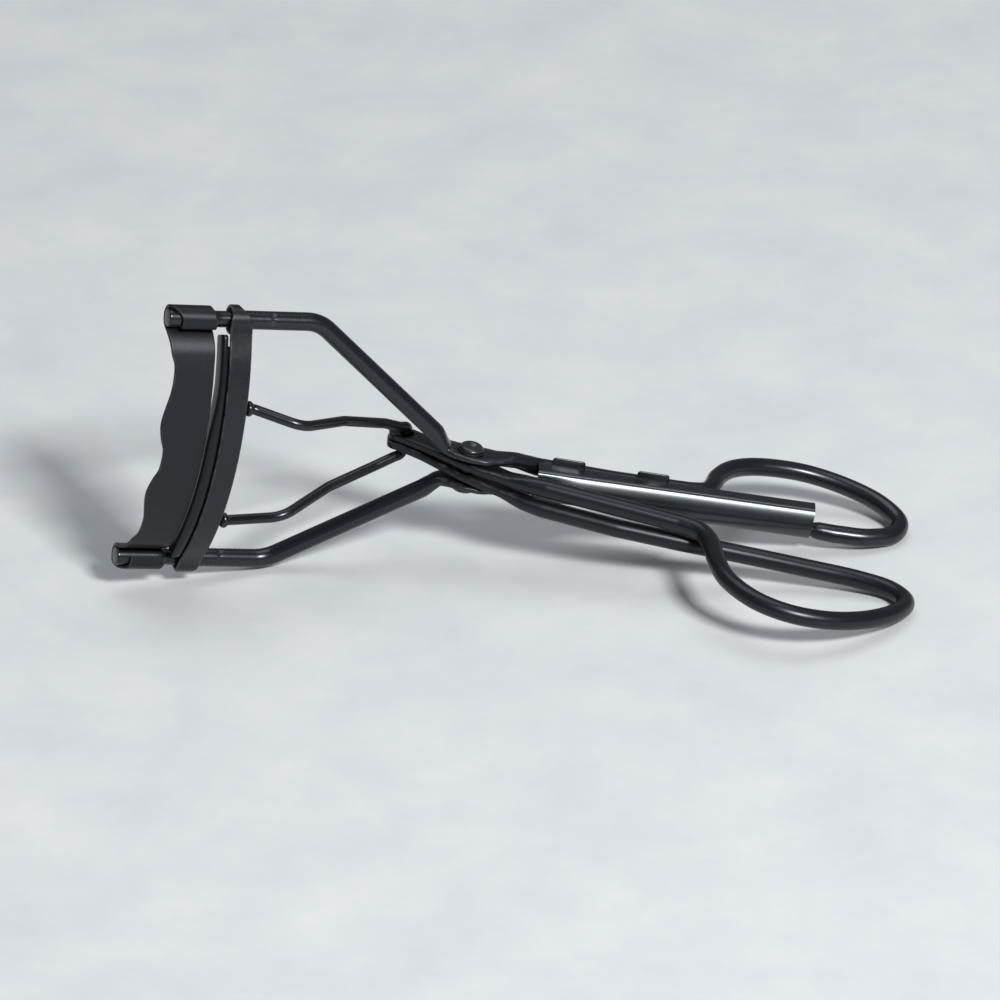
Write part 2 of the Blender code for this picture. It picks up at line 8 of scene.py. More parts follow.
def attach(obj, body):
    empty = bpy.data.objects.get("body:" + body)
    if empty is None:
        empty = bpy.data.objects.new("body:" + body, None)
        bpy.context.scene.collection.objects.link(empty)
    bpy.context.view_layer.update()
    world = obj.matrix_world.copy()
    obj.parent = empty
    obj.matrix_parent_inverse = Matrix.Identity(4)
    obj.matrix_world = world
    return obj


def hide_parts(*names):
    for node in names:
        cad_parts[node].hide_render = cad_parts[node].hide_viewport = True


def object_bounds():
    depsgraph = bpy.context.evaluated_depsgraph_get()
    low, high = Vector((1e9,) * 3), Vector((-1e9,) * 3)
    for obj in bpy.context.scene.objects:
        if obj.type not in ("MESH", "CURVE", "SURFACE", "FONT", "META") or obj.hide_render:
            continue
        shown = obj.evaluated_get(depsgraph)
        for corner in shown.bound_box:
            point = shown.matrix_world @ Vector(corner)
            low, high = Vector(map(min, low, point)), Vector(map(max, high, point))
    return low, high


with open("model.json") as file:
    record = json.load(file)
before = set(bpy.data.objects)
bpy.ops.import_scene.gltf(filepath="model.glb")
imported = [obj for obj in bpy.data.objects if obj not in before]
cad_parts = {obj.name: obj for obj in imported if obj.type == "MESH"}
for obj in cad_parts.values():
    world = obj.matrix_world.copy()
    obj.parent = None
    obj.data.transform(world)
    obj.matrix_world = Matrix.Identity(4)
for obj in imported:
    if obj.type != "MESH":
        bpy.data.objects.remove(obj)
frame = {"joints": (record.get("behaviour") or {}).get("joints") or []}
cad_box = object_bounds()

MM = 0.001
SIDES = 40
STEP_DEG = 4.0

# ------------------------------------------------------------------ where the object lies
joints = {j["name"]: j for j in frame["joints"]}
PIVOT = Vector(joints["handle_hinge"]["pos_m"])
N_WORLD = -Vector(joints["handle_hinge"]["axis"]).normalized()
U_WORLD = Vector(joints["jaw_slide"]["axis"]).normalized()
W_WORLD = N_WORLD.cross(U_WORLD).normalized()
SLIDE_ANGLE = math.radians(18.65)
G_WORLD = U_WORLD * math.cos(SLIDE_ANGLE) - W_WORLD * math.sin(SLIDE_ANGLE)
H_WORLD = U_WORLD * math.sin(SLIDE_ANGLE) + W_WORLD * math.cos(SLIDE_ANGLE)
PLACE = Matrix(((G_WORLD.x, H_WORLD.x, N_WORLD.x, PIVOT.x),
                (G_WORLD.y, H_WORLD.y, N_WORLD.y, PIVOT.y),
                (G_WORLD.z, H_WORLD.z, N_WORLD.z, PIVOT.z),
                (0, 0, 0, 1)))

# Same design numbers as the CAD source, in millimetres
WIRE_R, YOKE_R, ROD_N = 1.24, 0.7, 18.3
ROD_FRONT, ROD_BEND = (-43.7, -8.5), (-23.75, -1.75)
PIVOT_HOLE_R, PIN_HOLE_R, PIN, RIVET_R = 1.15, 1.05, (-8.5, 4.45), 0.88
JAW_CENTRE_W, PLATE_R, PLATE_T, PLATE_REAR = 26.8, 32.65, 0.45, 6.5
CHANNEL_OUT, CHANNEL_IN, CHANNEL_T = 34.0, 30.8, 0.45
CHANNEL_FRONT, CHANNEL_BACK, CHANNEL_END_N = 8.1, 11.15, 15.0
PAD_FRONT, PAD_SLOPE = 6.62, 0.48
YOKE_HINGE_U, BEAD_W, BEAD_N = 10.95, -4.68, {1: 7.55, -1: -9.62}
SLEEVE_START, SLEEVE_END, SLEEVE_H0, SLEEVE_SLOPE = 9.3, 47.3, -1.26, 0.102
ROLL_R = 1.525

U = Vector((math.cos(SLIDE_ANGLE), math.sin(SLIDE_ANGLE), 0.0))
W = Vector((-math.sin(SLIDE_ANGLE), math.cos(SLIDE_ANGLE), 0.0))
N = Vector((0.0, 0.0, 1.0))


def V(g, h, n):
    return Vector((g, h, n))


def jaw_point(u, w, n):
    return Vector((ROD_FRONT[0], ROD_FRONT[1], 0.0)) + U * u + W * w + N * n


def sleeve_h(g):
    return SLEEVE_H0 + SLEEVE_SLOPE * (g - 9.46)


def arc_w(radius, n):
    return JAW_CENTRE_W - math.sqrt(radius * radius - n * n)


def smooth(t):
    t = max(0.0, min(1.0, t))
    return t * t * (3 - 2 * t)


# ------------------------------------------------------------------ shape tools
def catmull(points, per):
    out = []
    for i in range(len(points) - 1):
        q0 = points[max(i - 1, 0)]
        q1, q2 = points[i], points[i + 1]
        q3 = points[min(i + 2, len(points) - 1)]
        d01 = max((q1[0] - q0[0]).length, 1e-6) ** 0.5
        d12 = max((q2[0] - q1[0]).length, 1e-6) ** 0.5
        d23 = max((q3[0] - q2[0]).length, 1e-6) ** 0.5
        m1 = (q2[0] - q1[0])
        if i > 0:
            m1 = ((q1[0] - q0[0]) / d01 - (q2[0] - q0[0]) / (d01 + d12) + (q2[0] - q1[0]) / d12) * d12
        m2 = (q2[0] - q1[0])
        if i + 2 < len(points):
            m2 = ((q2[0] - q1[0]) / d12 - (q3[0] - q1[0]) / (d12 + d23) + (q3[0] - q2[0]) / d23) * d12
        for k in range(per):
            t = k / per
            t2, t3 = t * t, t * t * t
            pos = (q1[0] * (2 * t3 - 3 * t2 + 1) + m1 * (t3 - 2 * t2 + t)
                   + q2[0] * (-2 * t3 + 3 * t2) + m2 * (t3 - t2))
            out.append((pos,) + tuple(q1[j] * (1 - t) + q2[j] * t for j in (1, 2, 3)))
    out.append(points[-1])
    return out


def rounded(nodes):
    out = []
    for i, (pos, fil, a, b, p) in enumerate(nodes):
        if fil <= 0 or i == 0 or i == len(nodes) - 1:
            out.append((pos, a, b, p))
            continue
        before, after = nodes[i - 1], nodes[i + 1]
        d1 = (before[0] - pos).normalized()
        d2 = (after[0] - pos).normalized()
        turn = math.pi - d1.angle(d2)
        cut = fil * math.tan(turn / 2)
        cut = min(cut, 0.48 * (before[0] - pos).length, 0.48 * (after[0] - pos).length)
        rad = cut / math.tan(turn / 2)
        start, end = pos + d1 * cut, pos + d2 * cut
        centre = pos + (d1 + d2).normalized() * (rad / math.cos(turn / 2))
        steps = max(3, int(math.degrees(turn) / STEP_DEG + 0.999))
        v1, v2 = start - centre, end - centre
        f1 = cut / (before[0] - pos).length
        f2 = cut / (after[0] - pos).length
        for k in range(steps + 1):
            t = k / steps
            ang = turn * t
            v = v1 * (math.sin(turn - ang) / math.sin(turn)) + v2 * (math.sin(ang) / math.sin(turn))
            if t < 0.5:
                s = f1 * (1 - 2 * t)
                vals = [x * (1 - s) + y * s for x, y in zip((a, b, p), before[2:])]
            else:
                s = f2 * (2 * t - 1)
                vals = [x * (1 - s) + y * s for x, y in zip((a, b, p), after[2:])]
            out.append((centre + v, vals[0], vals[1], vals[2]))
    return out


def spread(stations, longest=0.9):
    """Long straight runs are cut into short ones and their section sizes ease in and out."""
    out = [stations[0]]
    for s0, s1 in zip(stations, stations[1:]):
        length = (s1[0] - s0[0]).length
        parts = max(1, int(length / longest + 0.999))
        change = max(abs(s1[j] - s0[j]) for j in (1, 2))
        for k in range(1, parts + 1):
            t = k / parts
            e = smooth(t) if change > 0.05 else t
            out.append((s0[0].lerp(s1[0], t),) + tuple(s0[j] * (1 - e) + s1[j] * e for j in (1, 2, 3)))
    return out


def new_bm():
    bm = bmesh.new()
    bm.verts.layers.float.new("wear")
    return bm


def sweep(stations, up=None, sides=SIDES, dent=None):
    bm = new_bm()
    wear = bm.verts.layers.float["wear"]
    rings = []
    count = len(stations)
    transported = None
    for i, (pos, a, b, p) in enumerate(stations):
        if i == 0:
            t = stations[1][0] - pos
        elif i == count - 1:
            t = pos - stations[i - 1][0]
        else:
            t = ((pos - stations[i - 1][0]).normalized() + (stations[i + 1][0] - pos).normalized())
        t.normalize()
        if up is not None:
            side = t.cross(up).normalized()
        elif transported is None:
            side = t.cross(N).normalized()
        else:
            side = (transported - t * transported.dot(t)).normalized()
        top = side.cross(t).normalized()
        transported = side.copy()
        ring = []
        for k in range(sides):
            ang = 2 * math.pi * (k + 0.5) / sides
            c, s = math.cos(ang), math.sin(ang)
            x = a * math.copysign(abs(c) ** (2 / p), c)
            y = b * math.copysign(abs(s) ** (2 / p), s)
            v = bm.verts.new(pos + side * x + top * y)
            if p > 2.9:
                v[wear] = smooth((abs(c * s) * 2 - 0.55) / 0.35) * 0.8
            if dent is not None:
                dent(v, pos, wear)
            ring.append(v)
        rings.append(ring)
    for r0, r1 in zip(rings, rings[1:]):
        for k in range(sides):
            bm.faces.new((r0[k], r0[(k + 1) % sides], r1[(k + 1) % sides], r1[k]))
    bm.faces.new(list(reversed(rings[0])))
    bm.faces.new(rings[-1])
    for end in (rings[0], rings[-1]):
        for v in end:
            v[wear] = 0.9
    bmesh.ops.recalc_face_normals(bm, faces=bm.faces)
    return bm


def sweep_rings(sections, closed=False):
    """Solid through matching rings; each ring is a list of (point, wear)."""
    bm = new_bm()
    wear = bm.verts.layers.float["wear"]
    rings = []
    for ring in sections:
        made = []
        for q, w in ring:
            v = bm.verts.new(q)
            v[wear] = w
            made.append(v)
        rings.append(made)
    size = len(rings[0])
    pairs = list(zip(rings, rings[1:])) + ([(rings[-1], rings[0])] if closed else [])
    for r0, r1 in pairs:
        for k in range(size):
            bm.faces.new((r0[k], r0[(k + 1) % size], r1[(k + 1) % size], r1[k]))
    if not closed:
        bm.faces.new(list(reversed(rings[0])))
        bm.faces.new(rings[-1])
    bmesh.ops.recalc_face_normals(bm, faces=bm.faces)
    return bm


def slab(f, r, h, corner, ins=0.22):
    """Ring round a thin rectangle, f..r by -h..h, with rounded corners: (along, offset, wear)."""
    c = min(corner, h * 0.96)
    out = []
    seg = 5
    for cx, cy, a0 in ((f + c, -h + c, 180), (r - c, -h + c, 270), (r - c, h - c, 0), (f + c, h - c, 90)):
        if a0 in (270, 90):
            near = r - ins if a0 == 270 else f + ins
            mid = (f + r) / 2
            if (r - f) > 2.2 * ins:
                far_side = f + ins if a0 == 270 else r - ins
                y = -h if a0 == 270 else h
                out.append((far_side, y, 0.0))
                out.append((mid, y, 0.0))
                out.append((near, y, 0.0))
        for k in range(seg + 1):
            a = math.radians(a0 + 90 * k / seg)
            out.append((cx + c * math.cos(a), cy + c * math.sin(a), 1.0))
    return out


def sheet(path, edges, thickness, corner=0.16):
    sections = []
    last = len(path) - 1
    for i, (w, n) in enumerate(path):
        w0, n0 = path[max(i - 1, 0)]
        w1, n1 = path[min(i + 1, last)]
        length = math.hypot(w1 - w0, n1 - n0)
        nw, nn = -(n1 - n0) / length, (w1 - w0) / length
        f, r = edges[i]
        ring = []
        for u, off, wr in slab(f, r, thickness / 2, corner):
            ring.append((jaw_point(u, w + nw * off, n + nn * off), wr))
        sections.append(ring)
    return sweep_rings(sections)


def bezier(p0, t0, p1, t1, pull, steps):
    out = []
    for k in range(1, steps):
        t = k / steps
        c0 = (p0[0] + t0[0] * pull, p0[1] + t0[1] * pull)
        c1 = (p1[0] - t1[0] * pull, p1[1] - t1[1] * pull)
        out.append(tuple((1 - t) ** 3 * p0[j] + 3 * t * (1 - t) ** 2 * c0[j] + 3 * t * t * (1 - t) * c1[j]
                         + t ** 3 * p1[j] for j in (0, 1)))
    return out


def revolve(profile, centre, axis, side, segments):
    other = axis.cross(side)
    rings = []
    for item in profile:
        d, r = item[0], item[1]
        wr = item[2] if len(item) > 2 else 0.0
        rings.append([(centre + axis * d + (side * math.cos(2 * math.pi * k / segments)
                      + other * math.sin(2 * math.pi * k / segments)) * r, wr) for k in range(segments)])
    return sweep_rings(rings)


def soften(profile, radius=0.12, seg=5):
    """Rounds the corners of an open profile of (d, r) points."""
    out = [profile[0]]
    for a, b, c in zip(profile, profile[1:], profile[2:]):
        pb = Vector(b[:2])
        d1, d2 = Vector(a[:2]) - pb, Vector(c[:2]) - pb
        cut = min(radius, d1.length * 0.48, d2.length * 0.48)
        p1, p2 = pb + d1.normalized() * cut, pb + d2.normalized() * cut
        for k in range(seg + 1):
            t = k / seg
            q = p1 * (1 - t) ** 2 + pb * (2 * t * (1 - t)) + p2 * t * t
            out.append((q.x, q.y))
    out.append(profile[-1])
    return out


# ------------------------------------------------------------------ materials
def socket(node, name):
    return node.inputs[name]


def black_paint(name, base, rough, spread_r=0.05, grain=9000.0, bump=0.05, dust=0.0, coat=0.0, wear_tint=0.05,
                streak=None, spec=0.5, metal=0.0):
    """Satin black enamel on metal: fine orange peel, uneven gloss, faint rubbed edges, a few light specks."""
    mat = bpy.data.materials.new(name)
    mat.use_nodes = True
    nt = mat.node_tree
    nodes, links = nt.nodes, nt.links
    bsdf = nodes["Principled BSDF"]
    bsdf.inputs["Metallic"].default_value = metal
    bsdf.inputs["Specular IOR Level"].default_value = spec
    bsdf.inputs["Specular Tint"].default_value = (0.86, 0.94, 1.0, 1.0)
    bsdf.inputs["Coat Weight"].default_value = coat
    bsdf.inputs["Coat Roughness"].default_value = 0.12
    where = nodes.new("ShaderNodeTexCoord")
    # slow variation of tone
    tone = nodes.new("ShaderNodeTexNoise")
    tone.inputs["Scale"].default_value = 260.0
    tone.inputs["Detail"].default_value = 5.0
    tone.inputs["Roughness"].default_value = 0.6
    links.new(where.outputs["Object"], tone.inputs["Vector"])
    ramp = nodes.new("ShaderNodeValToRGB")
    ramp.color_ramp.elements[0].position = 0.3
    ramp.color_ramp.elements[1].position = 0.72
    ramp.color_ramp.elements[0].color = (base[0] * 0.86, base[1] * 0.86, base[2] * 0.88, 1)
    ramp.color_ramp.elements[1].color = (base[0] * 1.18, base[1] * 1.18, base[2] * 1.2, 1)
    links.new(tone.outputs["Fac"], ramp.inputs["Fac"])
    # rubbed edges
    attr = nodes.new("ShaderNodeAttribute")
    attr.attribute_name = "wear"
    patch = nodes.new("ShaderNodeTexNoise")
    patch.inputs["Scale"].default_value = 900.0
    patch.inputs["Detail"].default_value = 6.0
    links.new(where.outputs["Object"], patch.inputs["Vector"])
    patchy = nodes.new("ShaderNodeMapRange")
    patchy.inputs["From Min"].default_value = 0.42
    patchy.inputs["From Max"].default_value = 0.68
    links.new(patch.outputs["Fac"], patchy.inputs["Value"])
    worn = nodes.new("ShaderNodeMath")
    worn.operation = 'MULTIPLY'
    links.new(attr.outputs["Fac"], worn.inputs[0])
    links.new(patchy.outputs["Result"], worn.inputs[1])
    mix = nodes.new("ShaderNodeMixRGB")
    mix.inputs["Color2"].default_value = (base[0] + wear_tint, base[1] + wear_tint, base[2] + wear_tint * 1.03, 1)
    links.new(worn.outputs[0], mix.inputs["Fac"])
    links.new(ramp.outputs["Color"], mix.inputs["Color1"])
    # specks of dust caught in the enamel
    speck = nodes.new("ShaderNodeTexVoronoi")
    speck.inputs["Scale"].default_value = 620.0
    links.new(where.outputs["Object"], speck.inputs["Vector"])
    speck_on = nodes.new("ShaderNodeMapRange")
    speck_on.inputs["From Min"].default_value = 0.075
    speck_on.inputs["From Max"].default_value = 0.045
    speck_on.inputs["To Max"].default_value = dust
    links.new(speck.outputs["Distance"], speck_on.inputs["Value"])
    mix2 = nodes.new("ShaderNodeMixRGB")
    mix2.inputs["Color2"].default_value = (0.16, 0.165, 0.17, 1)
    links.new(speck_on.outputs["Result"], mix2.inputs["Fac"])
    links.new(mix.outputs["Color"], mix2.inputs["Color1"])
    links.new(mix2.outputs["Color"], bsdf.inputs["Base Color"])
    # gloss
    gloss = nodes.new("ShaderNodeTexNoise")
    gloss.inputs["Scale"].default_value = 1400.0
    gloss.inputs["Detail"].default_value = 7.0
    gloss.inputs["Roughness"].default_value = 0.65
    links.new(where.outputs["Object"], gloss.inputs["Vector"])
    grange = nodes.new("ShaderNodeMapRange")
    grange.inputs["From Min"].default_value = 0.3
    grange.inputs["From Max"].default_value = 0.7
    grange.inputs["To Min"].default_value = rough - spread_r
    grange.inputs["To Max"].default_value = rough + spread_r
    links.new(gloss.outputs["Fac"], grange.inputs["Value"])
    add = nodes.new("ShaderNodeMath")
    add.operation = 'MULTIPLY_ADD'
    add.inputs[1].default_value = 0.12
    links.new(worn.outputs[0], add.inputs[0])
    links.new(grange.outputs["Result"], add.inputs[2])
    links.new(add.outputs[0], bsdf.inputs["Roughness"])
    # orange peel and fine grain
    peel = nodes.new("ShaderNodeTexNoise")
    peel.inputs["Scale"].default_value = 1700.0
    peel.inputs["Detail"].default_value = 2.0
    links.new(where.outputs["Object"], peel.inputs["Vector"])
    fine = nodes.new("ShaderNodeTexNoise")
    fine.inputs["Scale"].default_value = grain
    fine.inputs["Detail"].default_value = 3.0
    links.new(where.outputs["Object"], fine.inputs["Vector"])
    both = nodes.new("ShaderNodeMath")
    both.operation = 'MULTIPLY_ADD'
    both.inputs[1].default_value = 0.35
    links.new(fine.outputs["Fac"], both.inputs[0])
    links.new(peel.outputs["Fac"], both.inputs[2])
    height = both.outputs[0]
    if streak is not None:
        turn = nodes.new("ShaderNodeMapping")
        turn.inputs["Scale"].default_value = streak
        links.new(where.outputs["Object"], turn.inputs["Vector"])
        lines = nodes.new("ShaderNodeTexNoise")
        lines.inputs["Scale"].default_value = 1.0
        lines.inputs["Detail"].default_value = 4.0
        links.new(turn.outputs["Vector"], lines.inputs["Vector"])
        more = nodes.new("ShaderNodeMath")
        more.operation = 'MULTIPLY_ADD'
        more.inputs[1].default_value = 0.6
        links.new(lines.outputs["Fac"], more.inputs[0])
        links.new(height, more.inputs[2])
        height = more.outputs[0]
    bmp = nodes.new("ShaderNodeBump")
    bmp.inputs["Strength"].default_value = bump
    bmp.inputs["Distance"].default_value = 0.00012
    links.new(height, bmp.inputs["Height"])
    links.new(bmp.outputs["Normal"], bsdf.inputs["Normal"])
    return mat


PAINT = (0.0042, 0.0056, 0.0076)
mat_wire = black_paint("satin_enamel_wire", PAINT, 0.27, 0.03, bump=0.03, dust=0.02, spec=0.62)
mat_handle = black_paint("satin_enamel_handle", PAINT, 0.32, 0.03, bump=0.03, dust=0.02, spec=0.46)
mat_thin = black_paint("satin_enamel_thin_wire", PAINT, 0.27, 0.03, bump=0.03, dust=0.0, spec=0.6)
mat_plate = black_paint("satin_enamel_plate", (0.0046, 0.0060, 0.0080), 0.39, 0.04, bump=0.04, dust=0.02, wear_tint=0.03, spec=0.42)
mat_channel = black_paint("satin_enamel_channel", (0.0048, 0.0062, 0.0082), 0.34, 0.04, bump=0.04, dust=0.02, wear_tint=0.04, spec=0.5)
mat_sleeve = black_paint("satin_enamel_sleeve", (0.0046, 0.0060, 0.0080), 0.29, 0.02, bump=0.02, dust=0.02, wear_tint=0.03, spec=0.95)
mat_rivet = black_paint("black_oxide_rivet", (0.010, 0.0105, 0.0115), 0.30, 0.04, bump=0.05, dust=0.02, wear_tint=0.05, spec=1.0)
mat_washer = black_paint("black_nylon_washer", (0.008, 0.008, 0.009), 0.45, 0.06, bump=0.12, dust=0.0, wear_tint=0.02)


def silicone(name):
    """Moulded silicone: semi-matt, faint mould grain, a little powdery bloom."""
    mat = black_paint(name, (0.0050, 0.0064, 0.0086), 0.30, 0.04, grain=14000.0, bump=0.06, dust=0.04, wear_tint=0.01)
    b = mat.node_tree.nodes["Principled BSDF"]
    b.inputs["Specular IOR Level"].default_value = 0.42
    b.inputs["IOR"].default_value = 1.42
    b.inputs["Sheen Weight"].default_value = 0.01
    b.inputs["Sheen Roughness"].default_value = 0.5
    return mat


mat_pad = silicone("black_moulded_silicone")


# ------------------------------------------------------------------ making pieces
def to_object(name, bm, mat):
    bmesh.ops.transform(bm, matrix=PLACE @ Matrix.Scale(MM, 4), verts=bm.verts)
    bmesh.ops.recalc_face_normals(bm, faces=bm.faces)
    mesh = bpy.data.meshes.new(name)
    bm.to_mesh(mesh)
    bm.free()
    obj = bpy.data.objects.new(name, mesh)
    bpy.context.scene.collection.objects.link(obj)
    if mat is not None:
        mesh.materials.append(mat)
    return obj


def boolean(target, tool, operation):
    mod = target.modifiers.new(operation.lower(), 'BOOLEAN')
    mod.operation = operation
    mod.solver = 'EXACT'
    mod.object = tool
    bpy.context.view_layer.update()
    dg = bpy.context.evaluated_depsgraph_get()
    mesh = bpy.data.meshes.new_from_object(target.evaluated_get(dg))
    target.modifiers.clear()
    old = target.data
    target.data = mesh
    mesh.name = target.name
    bpy.data.meshes.remove(old)
    used = tool.data
    bpy.data.objects.remove(tool, do_unlink=True)
    bpy.data.meshes.remove(used)


def finish_piece(obj, mat, body, node, sharp=38.0):
    mesh = obj.data
    mesh.materials.clear()
    mesh.materials.append(mat)
    bm = bmesh.new()
    bm.from_mesh(mesh)
    bmesh.ops.remove_doubles(bm, verts=bm.verts, dist=2e-6)
    bmesh.ops.dissolve_degenerate(bm, dist=1e-6, edges=bm.edges)
    limit = math.radians(sharp)
    for f in bm.faces:
        f.smooth = True
        f.material_index = 0
    for e in bm.edges:
        e.smooth = not (len(e.link_faces) == 2 and e.calc_face_angle(0.0) > limit)
    bm.to_mesh(mesh)
    bm.free()
    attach(obj, body)
    if node:
        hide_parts(node)
    return obj


# ------------------------------------------------------------------ frame wire
def rod_end(sgn):
    """Blunt front end of a guide rod, with a small turned chamfer."""
    out = []
    for u, rad in ((-0.20, 1.06), (-0.185, 1.11), (-0.15, 1.155), (-0.08, 1.195), (0.02, 1.21), (0.12, 1.213),
                   (6.10, 1.213), (6.22, 1.19), (6.34, 1.13), (6.45, 1.10), (8.7, 1.10), (8.8, 1.13), (8.9, 1.2), (9.0, WIRE_R)):
        out.append((jaw_point(u, 0.0, sgn * ROD_N), 0.0, rad, rad, 2.0))
    for u in (13.6, 13.75, 13.9, 14.0, 14.1, 14.2, 14.3, 14.4, 14.5, 14.65, 14.8):
        out.append((jaw_point(u, 0.0, sgn * ROD_N), 0.0, WIRE_R, WIRE_R, 2.0))
    return out


def frame_half(sgn):
    r = WIRE_R
    nodes = rod_end(sgn)
    nodes += [
        (V(ROD_BEND[0], ROD_BEND[1], sgn * ROD_N), 5.0, r, r, 2.0),
        (V(-5.2, 0.15, sgn * 4.35), 0.0, r, r, 2.0),
        (V(-3.3, 0.3, sgn * 2.35), 1.6, 1.55, 0.75, 2.6),
        (V(-1.9, 0.2, sgn * 2.2), 0.0, 1.95, 0.46, 4.0),
        (V(0.0, 0.05, sgn * 2.2), 0.0, 2.15, 0.42, 5.0),
        (V(1.9, -0.1, sgn * 2.2), 0.0, 2.05, 0.42, 5.0),
        (V(3.9, 0.2, sgn * 2.2), 0.0, 1.65, 0.46, 4.0),
        (V(6.3, 1.0, sgn * 2.0), 2.0, 1.2, 1.0, 2.2),
    ]
    return nodes


def stake_dent(v, pos, wear):
    """Two shallow punch marks across each guide rod, behind the moving jaw."""
    for sgn in (1, -1):
        base = jaw_point(0.0, 0.0, sgn * ROD_N)
        rel = v.co - base
        u = rel.dot(U)
        if not 13.4 < u < 15.0 or abs(rel.z) > 2 or rel.dot(W) > 2 or rel.dot(W) < -2:
            continue
        ang = math.degrees(math.atan2(rel.z, -rel.dot(W)))
        for a0 in (62.0, 8.0):
            close = max(0.0, 1 - ((ang - a0) / 20.0) ** 2) * max(0.0, 1 - ((u - 14.2) / 0.34) ** 2)
            if close > 0:
                away = (v.co - (base + U * u)).normalized()
                v.co = v.co - away * (0.10 * close)
                v[wear] = max(v[wear], min(0.5, close))


upper = frame_half(1)
lower = frame_half(-1)
upper += [(V(9.4, 2.05, 1.05), 4.0, WIRE_R, WIRE_R, 2.0), (V(20.0, sleeve_h(20.0) + 3.0, 0.85), 6.0, WIRE_R, WIRE_R, 2.0),
          (V(28.6, sleeve_h(28.6) + 2.85, 0.85), 0.0, WIRE_R, WIRE_R, 2.0)]
lower += [(V(8.7, 0.0, -1.15), 2.0, 1.1, 0.78, 3.0), (V(12.0, sleeve_h(12.0) + 1.0, -1.12), 2.0, 1.05, 0.75, 3.0)]
loop_far = [(q, WIRE_R, WIRE_R, 2.0) for q in (
    V(28.6, sleeve_h(28.6) + 2.85, 0.85), V(30.9, 3.85, 0.88), V(32.55, 4.5, 0.92), V(33.45, 6.0, 1.0), V(34.2, 8.5, 1.1),
    V(36.1, 11.3, 1.2), V(39.6, 13.5, 1.15), V(46.3, 14.85, 0.9), V(52.8, 13.8, 0.5), V(57.4, 11.4, 0.1),
    V(59.75, 8.3, -0.4), V(58.9, 5.4, -0.75), V(55.3, 3.6, -1.0), V(50.6, 3.15, -1.15))]
run_b = [(V(48.4, 3.2, -1.15), 0.0, 1.18, 1.18, 2.1), (V(47.5, 3.3, -1.15), 0.0, 1.05, 0.76, 3.0),
         (V(46.0, sleeve_h(46.0) + 0.95, -1.12), 0.0, 1.05, 0.75, 3.0)]
stations = (rounded(upper)[:-1] + catmull(loop_far, 9) + rounded(run_b + list(reversed(lower))))
frame_wire = to_object("frame_wire_bent", sweep(spread(stations), up=N, dent=stake_dent), mat_wire)
boolean(frame_wire, to_object("cut", revolve([(-5.0, PIVOT_HOLE_R), (5.0, PIVOT_HOLE_R)], V(0, 0, 0), N, V(1, 0, 0), 48), None),
        'DIFFERENCE')
finish_piece(frame_wire, mat_wire, "frame", "frame_wire")


# ------------------------------------------------------------------ fixed jaw
def front_edge(n):
    m = abs(n)
    keys = ((0.0, 0.95), (1.6, 0.85), (3.0, 0.35), (4.7, -0.02), (6.0, 0.0), (7.5, 0.3), (9.6, 0.8),
            (11.6, 1.0), (13.0, 0.95), (14.3, 0.5), (16.0, 0.3))
    if m >= keys[-1][0]:
        return keys[-1][1]
    for i, ((a, fa), (b, fb)) in enumerate(zip(keys, keys[1:])):
        if m <= b:
            before = keys[i - 1] if i > 0 else (-keys[1][0], keys[1][1])
            after = keys[i + 2] if i + 2 < len(keys) else (b + 1, fb)
            ta = (fb - before[1]) / (b - before[0]) * (b - a)
            tb = (after[1] - fa) / (after[0] - a) * (b - a)
            q = (m - a) / (b - a)
            return (fa * (2 * q ** 3 - 3 * q * q + 1) + ta * (q ** 3 - 2 * q * q + q)
                    + fb * (-2 * q ** 3 + 3 * q * q) + tb * (q ** 3 - q * q))
    return keys[-1][1]


def plate_path(fine):
    start_n = 14.3
    start = (arc_w(PLATE_R, start_n), start_n)
    slope = (start_n / PLATE_R, math.sqrt(1 - (start_n / PLATE_R) ** 2))
    first = math.radians(-78)
    roll = []
    steps = int(fine * 1.2)
    for k in range(steps + 1):
        ang = first + (math.radians(207) - first) * k / steps
        roll.append((ROLL_R * math.cos(ang), ROD_N + ROLL_R * math.sin(ang)))
    join = bezier(start, slope, roll[0], (-math.sin(first), math.cos(first)), 1.15, 16)
    half = [(arc_w(PLATE_R, start_n * k / fine), start_n * k / fine) for k in range(1, fine + 1)]
    side = half + join + roll
    path = [(w, -n) for w, n in reversed(side)] + [(arc_w(PLATE_R, 0), 0.0)] + side
    lead = []
    for k in range(len(join)):
        f = smooth((k + 1) / (len(join) + 1))
        lead.append((0.45 * (1 - f) - 0.15 * f, PLATE_REAR - 0.15 * f))
    for k in range(steps + 1):
        f = k / steps
        lead.append((-0.15 + 1.65 * smooth(max(0.0, min(1.0, (f - 0.46) / 0.41))),
                     PLATE_REAR - 0.15 - 0.65 * math.sin(math.pi * min(1.0, f * 1.15))))
    plain = [(front_edge(n), PLATE_REAR) for w, n in half]
    edges = list(reversed(lead)) + list(reversed(plain)) + [(front_edge(0), PLATE_REAR)] + plain + lead
    return path, edges


path, edges = plate_path(70)
fixed_jaw = to_object("fixed_jaw_plate", sheet(path, edges, PLATE_T, 0.17), mat_plate)
finish_piece(fixed_jaw, mat_plate, "frame", "fixed_jaw", 50)

# ------------------------------------------------------------------ moving jaw
RING_R = WIRE_R + 0.3 + CHANNEL_T / 2
flange_r = CHANNEL_OUT - CHANNEL_T / 2


